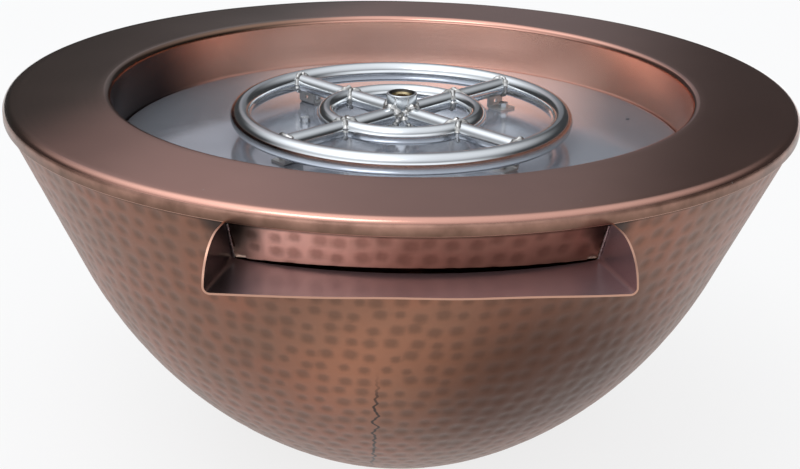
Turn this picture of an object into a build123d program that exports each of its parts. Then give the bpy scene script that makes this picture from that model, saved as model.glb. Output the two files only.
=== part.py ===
from build123d import *
import math
import os

# A hammered copper fire-and-water bowl. All sizes are millimetres and degrees.
# The origin is the middle of the base, on the surface that the bowl stands on.
# +Z is up the bowl's axis, and the spout faces -Y.

# Bowl wall: a straight cone below the rim that runs into one round belly
rim_radius = 343.0
bowl_height = 333.0
sheet = 1.5
wall_angle = 22.8
wall_straight = 134.0
base_radius = 108.0
seam_gap = 0.3

# Rim collar: hem, flat lip and rolled inner edge. Well ring: wall and pan ledge
hem_height = 12.6
rim_edge_radius = 3.0
opening_radius = 254.5
lip_roll_radius = 6.0
ledge_width = 14.0

# Spout: one folded sheet under the hem, with flared cheeks and a bowed lip
spout_overhang = 17.0
spout_half_width = 141.0
spout_flare = 14.0
spout_floor_depth = 44.6
spout_bend_radius = 4.0
lip_bow = 5.0
cheek_corner_radius = 31.0
slot_height = 6.6
slot_half_width = 126.0
tongue_length = 12.0

# Weir box: an open trough behind the slot, fed by the riser
box_back_gap = 12.0
box_side_margin = 6.0
box_freeboard = 7.0
box_height = 64.0
riser_radius = 11.0
riser_wall = 1.2
riser_bend_radius = 24.0
riser_stand_off = 32.0
riser_foot_rise = 24.0
riser_knee_height = 172.0
riser_entry = 8.0
riser_inlet_rise = 16.0

# Fittings in the base
inlet_offset = 72.0
inlet_thread_radius = 15.2
inlet_thread_length = 22.0
inlet_body_radius = 22.0
inlet_body_height = 40.0
inlet_socket_depth = 13.0
sleeve_bore_radius = 27.0
sleeve_wall = 3.0
sleeve_height = 60.0

# Burner pan: a round tray turned upside down, standing on the ledge
pan_depth = 49.5
pan_sheet = 1.5
pan_skirt = 12.0
pan_bend_radius = 2.5
pan_gap = 0.6
weep_hole_radius = 2.5
weep_hole_inset = 32.5
weep_hole_angle = 13.0

# Burner: two rings of tube on four spokes, welded to a pipe coupling
ring_height = 19.0
outer_ring_radius = 143.5
outer_tube_radius = 9.5
inner_ring_radius = 68.0
inner_tube_radius = 8.0
tube_wall = 1.6
spoke_radius = 8.0
spoke_count = 4
spoke_angle = 43.0
weld_gap = 0.2
hub_radius = 13.5
hub_bore_radius = 9.6
hub_mouth_radius = 11.6
hub_mouth_depth = 2.0
thread_gap = 0.2

# Plug in the hub's top
plug_sink = 3.0
plug_length = 12.0
plug_socket_width = 9.5
plug_socket_depth = 7.0

# Gas adapter and washer that clamp the pan to the hub
adapter_thread_length = 14.0
adapter_hex_width = 28.0
adapter_hex_height = 12.0
adapter_tail_radius = 11.0
adapter_tail_length = 22.0
adapter_nose_length = 4.0
adapter_bore_radius = 6.0
washer_radius = 19.0
washer_thickness = 2.0

# Brackets that carry the outer ring on the pan, and the screws
bracket_inset = 15.5
bracket_width = 20.0
bracket_sheet = 2.0
bracket_foot = 18.0
bracket_bend_radius = 1.5
bracket_hole_radius = 2.2
screw_offset = 11.0
screw_radius = 2.1
screw_hole_gap = 0.3
screw_flange_radius = 5.0
screw_flange_height = 1.2
screw_hex_width = 8.0
screw_hex_height = 3.6
screw_length = 9.0
pan_screw_distance = 93.0
pan_screw_angle = 160.0

# Heights and places that follow from the sizes above
hem_bottom = bowl_height - hem_height
spout_reach = rim_radius + spout_overhang
box_back_radius = opening_radius + sheet + box_back_gap
weep_hole_reach = opening_radius - weep_hole_inset
bracket_reach = outer_ring_radius - bracket_inset
wall_top_radius = rim_radius - sheet - seam_gap
wall_sine = math.sin(math.radians(wall_angle))
wall_cosine = math.cos(math.radians(wall_angle))
wall_tangent = math.tan(math.radians(wall_angle))
belly_top_radius = wall_top_radius - wall_straight * wall_sine
belly_top = hem_bottom - wall_straight * wall_cosine
wall_joint = belly_top + sheet * wall_sine
roll_bottom = bowl_height - lip_roll_radius
spout_floor = bowl_height - spout_floor_depth
slot_bottom = spout_floor - sheet - seam_gap
slot_top = spout_floor + slot_height
box_top = slot_top + box_freeboard
box_bottom = box_top - box_height
riser_inlet = box_bottom + riser_inlet_rise
pan_top = bowl_height - pan_depth
ledge_top = pan_top - pan_skirt
ring_level = pan_top + ring_height
hub_length = 2 * ring_height
hub_top = pan_top + hub_length
bracket_top = ring_level - spoke_radius - weld_gap
adapter_thread_radius = hub_bore_radius - thread_gap
pan_centre_hole = adapter_thread_radius + screw_hole_gap
screw_hole_radius = screw_radius + screw_hole_gap


def belly_arc():
    """Centre (radius, height) and radius of the arc from the cone's end down to the base."""
    run = base_radius - belly_top_radius
    drop = -belly_top
    towards_centre = -run * wall_cosine + drop * wall_sine
    arc_radius = (run ** 2 + drop ** 2) / (2 * towards_centre)
    centre_radius = belly_top_radius - arc_radius * wall_cosine
    centre_height = belly_top + arc_radius * wall_sine
    return centre_radius, centre_height, arc_radius


def wall_radius(height, inset):
    """Radius of the bowl's wall at a height, on a surface set in from the outside by inset."""
    if height >= belly_top + inset * wall_sine:
        return wall_top_radius - (hem_bottom - height) * wall_tangent - inset / wall_cosine
    centre_radius, centre_height, arc_radius = belly_arc()
    reach = (arc_radius - inset) ** 2 - (centre_height - height) ** 2
    return centre_radius + math.sqrt(reach)


def belly_edge(inset):
    """The round stretch of the wall's profile, from the cone's end down to the base."""
    join = (belly_top_radius - inset * wall_cosine, belly_top + inset * wall_sine)
    foot = (wall_radius(0, inset), 0)
    return TangentArc(join, foot, tangent=(-wall_sine, -wall_cosine))


def turned(edges, arc=360.0):
    """Solid of revolution about Z from a closed profile of (radius, height) edges."""
    return revolve(make_face(Plane.XZ * Curve(edges)), Axis.Z, arc)


def closed(points):
    """Edges of a closed outline with straight sides."""
    return Polyline(*points, close=True).edges()


def upright(radius, height, x=0.0, y=0.0, z=0.0):
    """A cylinder that stands on height z."""
    return Pos(x, y, z) * Cylinder(radius, height, align=(Align.CENTER, Align.CENTER, Align.MIN))


def hexagon(width, height, z):
    """A hexagonal bar on the axis, width across its flats, standing on height z."""
    outline = RegularPolygon(width / 2, 6, major_radius=False)
    return Pos(0, 0, z) * extrude(outline, height)


def polar(reach, angle):
    """X and Y of a point at a distance and an angle from the axis."""
    return reach * math.cos(math.radians(angle)), reach * math.sin(math.radians(angle))


def cone_band(bottom, top):
    """A band of the bowl's straight wall between two heights."""
    return turned(
        closed(
            [
                (wall_radius(bottom, sheet), bottom),
                (wall_radius(bottom, 0), bottom),
                (wall_radius(top, 0), top),
                (wall_radius(top, sheet), top),
            ]
        )
    )


def shoulder_band():
    """Hammered wall above the slot, with an upright flange inside the rim's hem."""
    flange_top = bowl_height - rim_edge_radius
    inner_top = hem_bottom + sheet * (1 / wall_cosine - 1) / wall_tangent
    flange_inside = wall_top_radius - sheet
    return turned(
        closed(
            [
                (wall_radius(slot_top, sheet), slot_top),
                (wall_radius(slot_top, 0), slot_top),
                (wall_top_radius, hem_bottom),
                (wall_top_radius, flange_top),
                (flange_inside, flange_top),
                (flange_inside, inner_top),
            ]
        )
    )


def slot_band():
    """Hammered wall at the slot's height, open in front where the water comes through."""
    slot = Pos(0, -rim_radius, slot_bottom) * Box(
        2 * slot_half_width,
        rim_radius,
        slot_top - slot_bottom,
        align=(Align.CENTER, Align.CENTER, Align.MIN),
    )
    return cone_band(slot_bottom, slot_top) - slot


def bowl_wall():
    """Hammered cone from the slot down to the belly."""
    return cone_band(wall_joint, slot_bottom)


def bowl_belly():
    """Hammered round belly, open below, brazed edge to edge to the cone above it."""
    joint = (wall_radius(wall_joint, 0), wall_joint)
    outside = belly_edge(0)
    inside = belly_edge(sheet)
    edges = [
        Line(joint, outside @ 0),
        outside,
        Line(outside @ 1, inside @ 1),
        inside,
        Line(inside @ 0, joint),
    ]
    return turned(edges)


def base_plate():
    """Flat plate brazed into the foot of the wall, with the gas opening and the inlet's hole."""
    foot = wall_radius(0, sheet) - seam_gap
    brim = wall_radius(sheet, sheet) - seam_gap
    plate = turned(
        closed([(sleeve_bore_radius, 0), (foot, 0), (brim, sheet), (sleeve_bore_radius, sheet)])
    )
    return plate - upright(inlet_body_radius + seam_gap, 3 * sheet, y=-inlet_offset, z=-sheet)


def rim_collar():
    """Spun collar: hem, flat lip and the edge that rolls over into the well."""
    edge_in = rim_radius - rim_edge_radius
    edge_down = bowl_height - rim_edge_radius
    roll_out = opening_radius + lip_roll_radius
    turn = math.sqrt(0.5)
    edge_mid = rim_edge_radius * turn
    edge_mid_in = (rim_edge_radius - sheet) * turn
    roll_mid = lip_roll_radius * turn
    roll_mid_in = (lip_roll_radius - sheet) * turn
    edges = [
        Line((rim_radius, hem_bottom), (rim_radius, edge_down)),
        ThreePointArc(
            (rim_radius, edge_down), (edge_in + edge_mid, edge_down + edge_mid), (edge_in, bowl_height)
        ),
        Line((edge_in, bowl_height), (roll_out, bowl_height)),
        ThreePointArc(
            (roll_out, bowl_height),
            (roll_out - roll_mid, roll_bottom + roll_mid),
            (opening_radius, roll_bottom),
        ),
        Line((opening_radius, roll_bottom), (opening_radius + sheet, roll_bottom)),
        ThreePointArc(
            (opening_radius + sheet, roll_bottom),
            (roll_out - roll_mid_in, roll_bottom + roll_mid_in),
            (roll_out, bowl_height - sheet),
        ),
        Line((roll_out, bowl_height - sheet), (edge_in, bowl_height - sheet)),
        ThreePointArc(
            (edge_in, bowl_height - sheet),
            (edge_in + edge_mid_in, edge_down + edge_mid_in),
            (rim_radius - sheet, edge_down),
        ),
        Polyline(
            (rim_radius - sheet, edge_down), (rim_radius - sheet, hem_bottom), (rim_radius, hem_bottom)
        ),
    ]
    return turned(edges)


def well_ring():
    """Wall of the well, brazed under the rolled edge, with the ledge that the pan stands on."""
    ledge_inside = opening_radius - ledge_width
    ledge_bottom = ledge_top - sheet
    outside = opening_radius + sheet
    return turned(
        closed(
            [
                (opening_radius, roll_bottom),
                (opening_radius, ledge_top),
                (ledge_inside, ledge_top),
                (ledge_inside, ledge_bottom),
                (outside, ledge_bottom),
                (outside, roll_bottom),
            ]
        )
    )


def spout_half(distance):
    """Half of the spout's inside width at a distance in front of the bowl's axis."""
    return spout_half_width - (spout_reach - distance) * math.tan(math.radians(spout_flare))


def spout_plan(back, front, grow, bow):
    """Plan of the spout between two distances, its cheeks moved out by grow, its lip bowed."""
    back_half = spout_half(back) + grow
    front_half = spout_half(front) + grow
    edges = [
        Line((-back_half, -back), (-front_half, -front)),
        ThreePointArc((-front_half, -front), (0, -front - bow), (front_half, -front)),
        Line((front_half, -front), (back_half, -back)),
        Line((back_half, -back), (-back_half, -back)),
    ]
    return make_face(edges)


def side_bottom_edges(solid):
    """The two long edges along the bottom of a flared tray."""
    low = solid.edges().group_by(Axis.Z)[0].sort_by(Axis.X)
    return low[0], low[-1]


def spout_tray():
    """Folded spout: floor, two flared cheeks with round corners, and a tongue through the slot."""
    back = spout_reach / 2
    overrun = 4 * lip_bow
    grow = sheet / math.cos(math.radians(spout_flare))
    underside = spout_floor - sheet
    outer = Pos(0, 0, underside) * extrude(
        spout_plan(back, spout_reach, grow, lip_bow), hem_bottom - underside
    )
    outer = fillet(side_bottom_edges(outer), spout_bend_radius + sheet)
    hollow = Pos(0, 0, spout_floor) * extrude(
        spout_plan(back - overrun, spout_reach + overrun, 0, lip_bow), hem_height + spout_floor_depth
    )
    hollow = fillet(side_bottom_edges(hollow), spout_bend_radius)
    corner_back = -spout_reach + cheek_corner_radius
    corner_low = hem_bottom - cheek_corner_radius
    corner = Pos(0, corner_back, corner_low) * Box(
        3 * spout_half_width,
        cheek_corner_radius + overrun,
        cheek_corner_radius + sheet,
        align=(Align.CENTER, Align.MAX, Align.MIN),
    )
    corner -= Pos(0, corner_back, corner_low) * Rot(0, 90, 0) * Cylinder(
        cheek_corner_radius, 4 * spout_half_width
    )
    wall = turned(
        closed(
            [
                (0, belly_top),
                (wall_radius(belly_top, -seam_gap), belly_top),
                (wall_radius(bowl_height, -seam_gap), bowl_height),
                (0, bowl_height),
            ]
        )
    )
    inside = wall_radius(spout_floor, sheet)
    tongue = Pos(0, 0, underside) * Box(
        2 * (slot_half_width - seam_gap),
        inside + 2 * sheet,
        sheet,
        align=(Align.CENTER, Align.MAX, Align.MIN),
    )
    tongue -= upright(inside - tongue_length, sheet, z=underside)
    return outer - hollow - corner - wall + tongue


def weir_box():
    """Trough behind the slot, open above and towards the bowl's wall, which closes it."""
    reach = wall_radius(slot_bottom, sheet)
    half_angle = math.degrees(math.asin((slot_half_width + box_side_margin) / reach))
    side = math.degrees(sheet / box_back_radius)
    overrun = 4 * sheet
    outer = turned(
        closed(
            [
                (box_back_radius, box_bottom),
                (wall_radius(box_bottom, sheet + seam_gap), box_bottom),
                (wall_radius(box_top, sheet + seam_gap), box_top),
                (box_back_radius, box_top),
            ]
        ),
        2 * half_angle,
    )
    hollow = turned(
        closed(
            [
                (box_back_radius + sheet, box_bottom + sheet),
                (rim_radius, box_bottom + sheet),
                (rim_radius, box_top + overrun),
                (box_back_radius + sheet, box_top + overrun),
            ]
        ),
        2 * (half_angle - side),
    )
    box = Rot(0, 0, -90 - half_angle) * outer - Rot(0, 0, -90 - half_angle + side) * hollow
    inlet = Pos(0, -box_back_radius, riser_inlet) * Rot(90, 0, 0) * Cylinder(
        riser_radius + seam_gap, overrun
    )
    return box - inlet


def water_riser():
    """Bent copper pipe from the inlet coupling to the back of the weir box."""
    foot = inlet_body_height - inlet_socket_depth
    knee = foot + inlet_socket_depth + riser_foot_rise
    stand = box_back_radius - riser_stand_off
    route = [
        (0, -inlet_offset, foot),
        (0, -inlet_offset, knee),
        (0, -stand, riser_knee_height),
        (0, -stand, riser_inlet),
        (0, -box_back_radius - riser_entry, riser_inlet),
    ]
    path = FilletPolyline(*route, radius=riser_bend_radius)
    start = Plane(origin=path @ 0, z_dir=path % 0)
    ring = Circle(riser_radius) - Circle(riser_radius - riser_wall)
    return sweep(start * ring, path)


def inlet_coupling():
    """Round brass coupling brazed into the base: pipe thread below, solder socket above."""
    body = upright(inlet_body_radius, inlet_body_height)
    body = chamfer(body.edges().group_by(Axis.Z)[-1], sheet)
    thread = upright(inlet_thread_radius, inlet_thread_length)
    passage = upright(riser_radius - riser_wall, inlet_body_height)
    socket_bottom = inlet_body_height - inlet_socket_depth
    socket = upright(riser_radius + seam_gap, inlet_socket_depth, z=socket_bottom)
    return Pos(0, -inlet_offset, 0) * (body - thread - passage - socket)


def gas_sleeve():
    """Stand pipe round the gas opening in the base."""
    tube = upright(sleeve_bore_radius + sleeve_wall, sleeve_height, z=sheet)
    return tube - upright(sleeve_bore_radius, sleeve_height, z=sheet)


def screw_places():
    """X and Y of each bracket screw, beside its spoke."""
    return [
        (
            Rot(0, 0, spoke_angle + 360 / spoke_count * index)
            * Pos(bracket_reach, -screw_offset, 0)
        ).position
        for index in range(spoke_count)
    ]


def burner_pan():
    """Flat pan with a turned-down skirt, and holes for the hub, the screws and the weep."""
    edge = opening_radius - pan_gap
    bend = pan_bend_radius
    inner_bend = bend - pan_sheet
    turn = math.sqrt(0.5)
    edges = [
        Line((pan_centre_hole, pan_top), (edge - bend, pan_top)),
        ThreePointArc(
            (edge - bend, pan_top),
            (edge - bend + bend * turn, pan_top - bend + bend * turn),
            (edge, pan_top - bend),
        ),
        Polyline(
            (edge, pan_top - bend),
            (edge, ledge_top),
            (edge - pan_sheet, ledge_top),
            (edge - pan_sheet, pan_top - bend),
        ),
        ThreePointArc(
            (edge - pan_sheet, pan_top - bend),
            (edge - bend + inner_bend * turn, pan_top - bend + inner_bend * turn),
            (edge - bend, pan_top - pan_sheet),
        ),
        Polyline(
            (edge - bend, pan_top - pan_sheet),
            (pan_centre_hole, pan_top - pan_sheet),
            (pan_centre_hole, pan_top),
        ),
    ]
    pan = turned(edges)
    below = pan_top - 2 * pan_sheet
    weep_x, weep_y = polar(weep_hole_reach, weep_hole_angle)
    pan -= upright(weep_hole_radius, 3 * pan_sheet, weep_x, weep_y, below)
    screw_x, screw_y = polar(pan_screw_distance, pan_screw_angle)
    pan -= upright(screw_hole_radius, 3 * pan_sheet, screw_x, screw_y, below)
    for place in screw_places():
        pan -= upright(screw_hole_radius, 3 * pan_sheet, place.X, place.Y, below)
    return pan


def tube_ring(ring_radius, tube_radius):
    """A closed ring of round tube at the burner's level."""
    ring = Torus(ring_radius, tube_radius) - Torus(ring_radius, tube_radius - tube_wall)
    return Pos(0, 0, ring_level) * ring


def ring_clearance(ring_radius, tube_radius):
    """What a coped tube end leaves free for a ring."""
    return Pos(0, 0, ring_level) * Torus(ring_radius, tube_radius + weld_gap)


def spoke_tube(start, end, angle):
    """A straight tube along a spoke, between two distances from the axis."""
    tube = Cylinder(spoke_radius, end - start) - Cylinder(spoke_radius - tube_wall, end - start)
    return Rot(0, 0, angle) * Pos((start + end) / 2, 0, ring_level) * Rot(0, 90, 0) * tube


def outer_spoke(angle):
    """Spoke from the inner ring to the outer ring, coped to both."""
    tube = spoke_tube(inner_ring_radius, outer_ring_radius, angle)
    tube -= ring_clearance(inner_ring_radius, inner_tube_radius)
    return tube - ring_clearance(outer_ring_radius, outer_tube_radius)


def inner_spoke(angle):
    """Spoke from the hub to the inner ring, coped to both."""
    tube = spoke_tube(0, inner_ring_radius, angle)
    tube -= upright(hub_radius + weld_gap, hub_length, z=pan_top)
    return tube - ring_clearance(inner_ring_radius, inner_tube_radius)


def burner_hub():
    """Pipe coupling that stands on the pan, with a flared mouth."""
    body = upright(hub_radius, hub_length, z=pan_top) - upright(hub_bore_radius, hub_length, z=pan_top)
    mouth = Pos(0, 0, hub_top) * Cone(
        hub_bore_radius, hub_mouth_radius, hub_mouth_depth, align=(Align.CENTER, Align.CENTER, Align.MAX)
    )
    return body - mouth


def hub_plug():
    """Brass plug sunk in the hub's mouth, with a hexagonal key socket."""
    top = hub_top - plug_sink
    plug = upright(hub_bore_radius - thread_gap, plug_length, z=top - plug_length)
    return plug - hexagon(plug_socket_width, plug_socket_depth, top - plug_socket_depth)


def gas_adapter():
    """Brass adapter: thread up into the hub, hexagon, and a flared tail for the gas line."""
    washer_bottom = pan_top - pan_sheet - washer_thickness
    hex_bottom = washer_bottom - adapter_hex_height
    tail_bottom = hex_bottom - adapter_tail_length
    nose_radius = adapter_tail_radius - adapter_nose_length
    body = hexagon(adapter_hex_width, adapter_hex_height, hex_bottom)
    body += upright(adapter_thread_radius, pan_top + adapter_thread_length - washer_bottom, z=washer_bottom)
    body += upright(adapter_tail_radius, adapter_tail_length, z=tail_bottom)
    body += Pos(0, 0, tail_bottom) * Cone(
        nose_radius, adapter_tail_radius, adapter_nose_length, align=(Align.CENTER, Align.CENTER, Align.MAX)
    )
    return body - upright(adapter_bore_radius, bowl_height)


def adapter_washer():
    """Flat washer between the pan and the adapter's hexagon."""
    bottom = pan_top - pan_sheet - washer_thickness
    disc = upright(washer_radius, washer_thickness, z=bottom)
    return disc - upright(pan_centre_hole, washer_thickness, z=bottom)


def bracket(angle):
    """Folded foot under a spoke's end: an upright leg with a hole, and a foot on the pan."""
    half = bracket_sheet / 2
    leg = bracket_top - pan_top
    fold = [(half, 0), (half, leg), (-half, leg), (-half, bracket_sheet)]
    fold += [(half - bracket_foot, bracket_sheet), (half - bracket_foot, 0)]
    outline = make_face(closed(fold))
    corners = outline.vertices()
    inner_corner = corners.sort_by_distance((-half, bracket_sheet))[0]
    outer_corner = corners.sort_by_distance((half, 0))[0]
    outline = fillet(inner_corner, bracket_bend_radius)
    outer_corner = outline.vertices().sort_by_distance(outer_corner)[0]
    outline = fillet(outer_corner, bracket_bend_radius + bracket_sheet)
    strip = extrude(Plane.YZ * outline, bracket_width)
    eye = Pos(bracket_width / 2, 0, (leg + bracket_sheet) / 2) * Rot(90, 0, 0)
    strip -= eye * Cylinder(bracket_hole_radius, 3 * bracket_sheet)
    strip -= upright(screw_hole_radius, 3 * bracket_sheet, bracket_width / 2, -screw_offset, -bracket_sheet)
    return Rot(0, 0, angle) * Pos(bracket_reach - bracket_width / 2, 0, pan_top) * strip


def screw(x, y, seat):
    """Hexagon-head screw with a flange, its head seated at a height."""
    head = upright(screw_flange_radius, screw_flange_height)
    head += hexagon(screw_hex_width, screw_hex_height, screw_flange_height)
    shank = upright(screw_radius, screw_length, z=-screw_length)
    return Pos(x, y, seat) * (head + shank)


def bracket_screws():
    """The screws through the bracket feet into the pan."""
    seat = pan_top + bracket_sheet
    return Compound(children=[screw(place.X, place.Y, seat) for place in screw_places()])


def pan_screw():
    """Single screw in the pan between the rings."""
    x, y = polar(pan_screw_distance, pan_screw_angle)
    return screw(x, y, pan_top)


def build_parts():
    """Every piece by its name."""
    parts = {
        "shoulder_band": shoulder_band(),
        "slot_band": slot_band(),
        "bowl_wall": bowl_wall(),
        "bowl_belly": bowl_belly(),
        "base_plate": base_plate(),
        "rim_collar": rim_collar(),
        "well_ring": well_ring(),
        "spout_tray": spout_tray(),
        "weir_box": weir_box(),
        "water_riser": water_riser(),
        "inlet_coupling": inlet_coupling(),
        "gas_sleeve": gas_sleeve(),
        "burner_pan": burner_pan(),
        "outer_ring": tube_ring(outer_ring_radius, outer_tube_radius),
        "inner_ring": tube_ring(inner_ring_radius, inner_tube_radius),
        "burner_hub": burner_hub(),
        "hub_plug": hub_plug(),
        "gas_adapter": gas_adapter(),
        "adapter_washer": adapter_washer(),
        "bracket_screws": bracket_screws(),
        "pan_screw": pan_screw(),
    }
    for index in range(spoke_count):
        angle = spoke_angle + 360 / spoke_count * index
        parts[f"outer_spoke_{index + 1}"] = outer_spoke(angle)
        parts[f"inner_spoke_{index + 1}"] = inner_spoke(angle)
        parts[f"bracket_{index + 1}"] = bracket(angle)
    return parts


os.makedirs("parts", exist_ok=True)
for name, solid in build_parts().items():
    export_step(solid, f"parts/{name}.step")
    print(name, round(solid.volume))
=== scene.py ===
# %% [markdown]
# # A hammered copper fire-and-water bowl
# The real object is a spun copper bowl with a wide flat rim, a folded spout under the rim and a stainless
# double-ring gas burner on a pan in its middle. The CAD model gives every piece its size and place.
# This lesson gives the pieces their looks: hammer marks, rolled edges, weld beads and metal finishes.

# %% Load the CAD model
import math
import random

import bmesh
import bpy
from mathutils import Euler, Matrix, Vector, kdtree, noise


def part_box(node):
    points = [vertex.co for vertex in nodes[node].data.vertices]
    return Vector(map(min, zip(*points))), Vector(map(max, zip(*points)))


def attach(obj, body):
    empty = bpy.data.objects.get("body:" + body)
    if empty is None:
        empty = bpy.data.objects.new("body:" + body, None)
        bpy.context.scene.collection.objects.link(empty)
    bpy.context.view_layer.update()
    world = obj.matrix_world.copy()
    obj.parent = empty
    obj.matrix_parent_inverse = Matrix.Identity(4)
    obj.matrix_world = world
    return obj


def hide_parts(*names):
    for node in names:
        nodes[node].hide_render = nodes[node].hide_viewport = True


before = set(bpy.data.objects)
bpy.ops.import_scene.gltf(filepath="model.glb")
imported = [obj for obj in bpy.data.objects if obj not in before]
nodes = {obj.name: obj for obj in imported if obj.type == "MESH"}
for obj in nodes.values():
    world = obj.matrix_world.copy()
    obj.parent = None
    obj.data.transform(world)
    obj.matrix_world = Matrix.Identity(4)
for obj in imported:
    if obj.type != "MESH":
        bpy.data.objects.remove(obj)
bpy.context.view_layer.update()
MM = 0.001

# %% [markdown]
# ## Sizes that all pieces share
# A box round each node gives most sizes: the rim's radius, the pan's level, the rings' tubes. Only what a
# box can't tell, such as the lean of the wall, is written down as a size of its own.

# %% Read sizes from the frame
rim_low, rim_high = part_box("rim_collar")
rim_radius = rim_high.x
rim_top = rim_high.z
pan_low, pan_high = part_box("burner_pan")
pan_top = pan_high.z
pan_radius = pan_high.x
hub_low, hub_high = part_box("burner_hub")
sheet = 1.5 * MM
seam_gap = 0.3 * MM
hem_height = 12.6 * MM
hem_bottom = rim_top - hem_height
tolerance = 0.01 * MM
print("rim radius", round(rim_radius, 4), "rim top", round(rim_top, 4), "pan top", round(pan_top, 4))

# %% [markdown]
# ## The camera
# The photo was taken by hand, from in front and a little above, so the camera leans down by 22 degrees and
# is tilted by about one degree. Its place was worked out from the rim's outer and inner ellipse.

# %% Camera
image_width = 800
sensor_width = 36.0
focal_length_pixels = 1324.5
camera_place = Vector((-49.0, -1144.2, 644.8)) * MM
camera_heading = math.radians(2.499)
camera_pitch = math.radians(21.884)
camera_roll = math.radians(1.191)

camera_data = bpy.data.cameras.new("camera")
camera_data.sensor_width = sensor_width
camera_data.lens = focal_length_pixels / image_width * sensor_width
camera = bpy.data.objects.new("camera", camera_data)
camera_turn = Euler((math.pi / 2 - camera_pitch, 0, -camera_heading)).to_matrix().to_4x4()
camera.matrix_world = Matrix.Translation(camera_place) @ camera_turn @ Matrix.Rotation(camera_roll, 4, "Z")
bpy.context.scene.collection.objects.link(camera)
bpy.context.scene.camera = camera
bpy.context.scene.view_settings.view_transform = "Standard"
print("camera lens", round(camera_data.lens, 2))

# %% [markdown]
# ## Colours and shader nodes
# Colours are written as they look on a screen and turned to the linear numbers that the shaders work in.
# One helper adds a node and fills its inputs with numbers or links, so a finish reads from top to bottom.
# A Mix node has sockets of one name for several kinds of data, so its colour sockets are picked by number.


# %% Colour and node helpers
def from_hex(code):
    """Linear colour with alpha from a hexadecimal screen colour."""
    linear = []
    for index in (1, 3, 5):
        value = int(code[index:index + 2], 16) / 255
        linear.append(value / 12.92 if value <= 0.04045 else ((value + 0.055) / 1.055) ** 2.4)
    return (*linear, 1.0)


def add_node(tree, kind, inputs=None, **properties):
    """Adds a node, sets its properties, and fills its inputs with constants or links."""
    made = tree.nodes.new(kind)
    for name, value in properties.items():
        setattr(made, name, value)
    for name, value in (inputs or {}).items():
        if isinstance(value, bpy.types.NodeSocket):
            tree.links.new(value, made.inputs[name])
        else:
            made.inputs[name].default_value = value
    return made


def new_material(name):
    """An empty material, its node tree and the socket of the object's own coordinates."""
    material = bpy.data.materials.new(name)
    material.use_nodes = True
    tree = material.node_tree
    tree.nodes.clear()
    place = add_node(tree, "ShaderNodeTexCoord").outputs["Object"]
    return material, tree, place


def finish_material(tree, inputs):
    """Closes a material with one principled shader."""
    shader = add_node(tree, "ShaderNodeBsdfPrincipled", inputs)
    add_node(tree, "ShaderNodeOutputMaterial", {"Surface": shader.outputs["BSDF"]})


MIX_A, MIX_B, MIX_OUT = 6, 7, 2
print("node helpers ready")

# %% [markdown]
# ## Finish: hammered copper with a dark patina
# Each hammer blow leaves a shallow hollow in which the dark patina stays, while the ridges between are
# rubbed brighter. The eye sees soft dark spots in staggered rows, over slow blotches of red and olive
# brown. A patch under the spout has stayed golden. Painted shade darkens the wall just under the hem, at
# the spout's corners and on the belly at the right, and a fine crack in the patina runs down the front.
# Painted light brightens the strip above the spout at its left end. Each of these is a share of a second
# colour, worked out from a distance or a coordinate, so nothing has to be painted by hand.

# %% Marks on the hammered copper
BLOTCH_SIZE = 70 * MM
GRIT_SIZE = 2.2 * MM
# Painted light on the strip above the spout fades out between these two X values, towards the right.
PAINTED_LIGHT_ENDS = (-120 * MM, 5 * MM)
# Painted shade darkens the wall over this height just under the hem.
HEM_SHADE_HEIGHT = 3.5 * MM
# Painted shade darkens the belly at the right round this place.
RIGHT_SHADE_PLACE = (105 * MM, -255 * MM, 165 * MM)
RIGHT_SHADE_REACH = (42 * MM, 162 * MM)
GOLDEN_PLACE = (-10 * MM, -274 * MM, 203 * MM)
GOLDEN_REACH = (20 * MM, 115 * MM)
# Painted shade darkens the spout's two upper corners under the hem round this place.
CORNER_SHADE_PLACE = (130 * MM, -314 * MM, hem_bottom)
CORNER_SHADE_REACH = (9 * MM, 28 * MM)
CRACK_PLACE = (-26 * MM, -228 * MM, 102 * MM)
CRACK_REACH = (55 * MM, 112 * MM)
CRACK_BEND = 9 * MM
CRACK_SWING = 4 * MM
CRACK_WIDTH = (0.5 * MM, 1.6 * MM)
# Each row: two colours of the patina, the colour in the hollows, and the share of the strip's painted light.
hammered_finishes = {
    "hammered_copper_patina": ("#905f4b", "#845f4e", "#5a4438", 0.0),
    "hammered_copper_sheltered": ("#b88d7a", "#aa8472", "#7d5c4d", 0.96),
}
print("hammered finishes to make", len(hammered_finishes))

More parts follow.
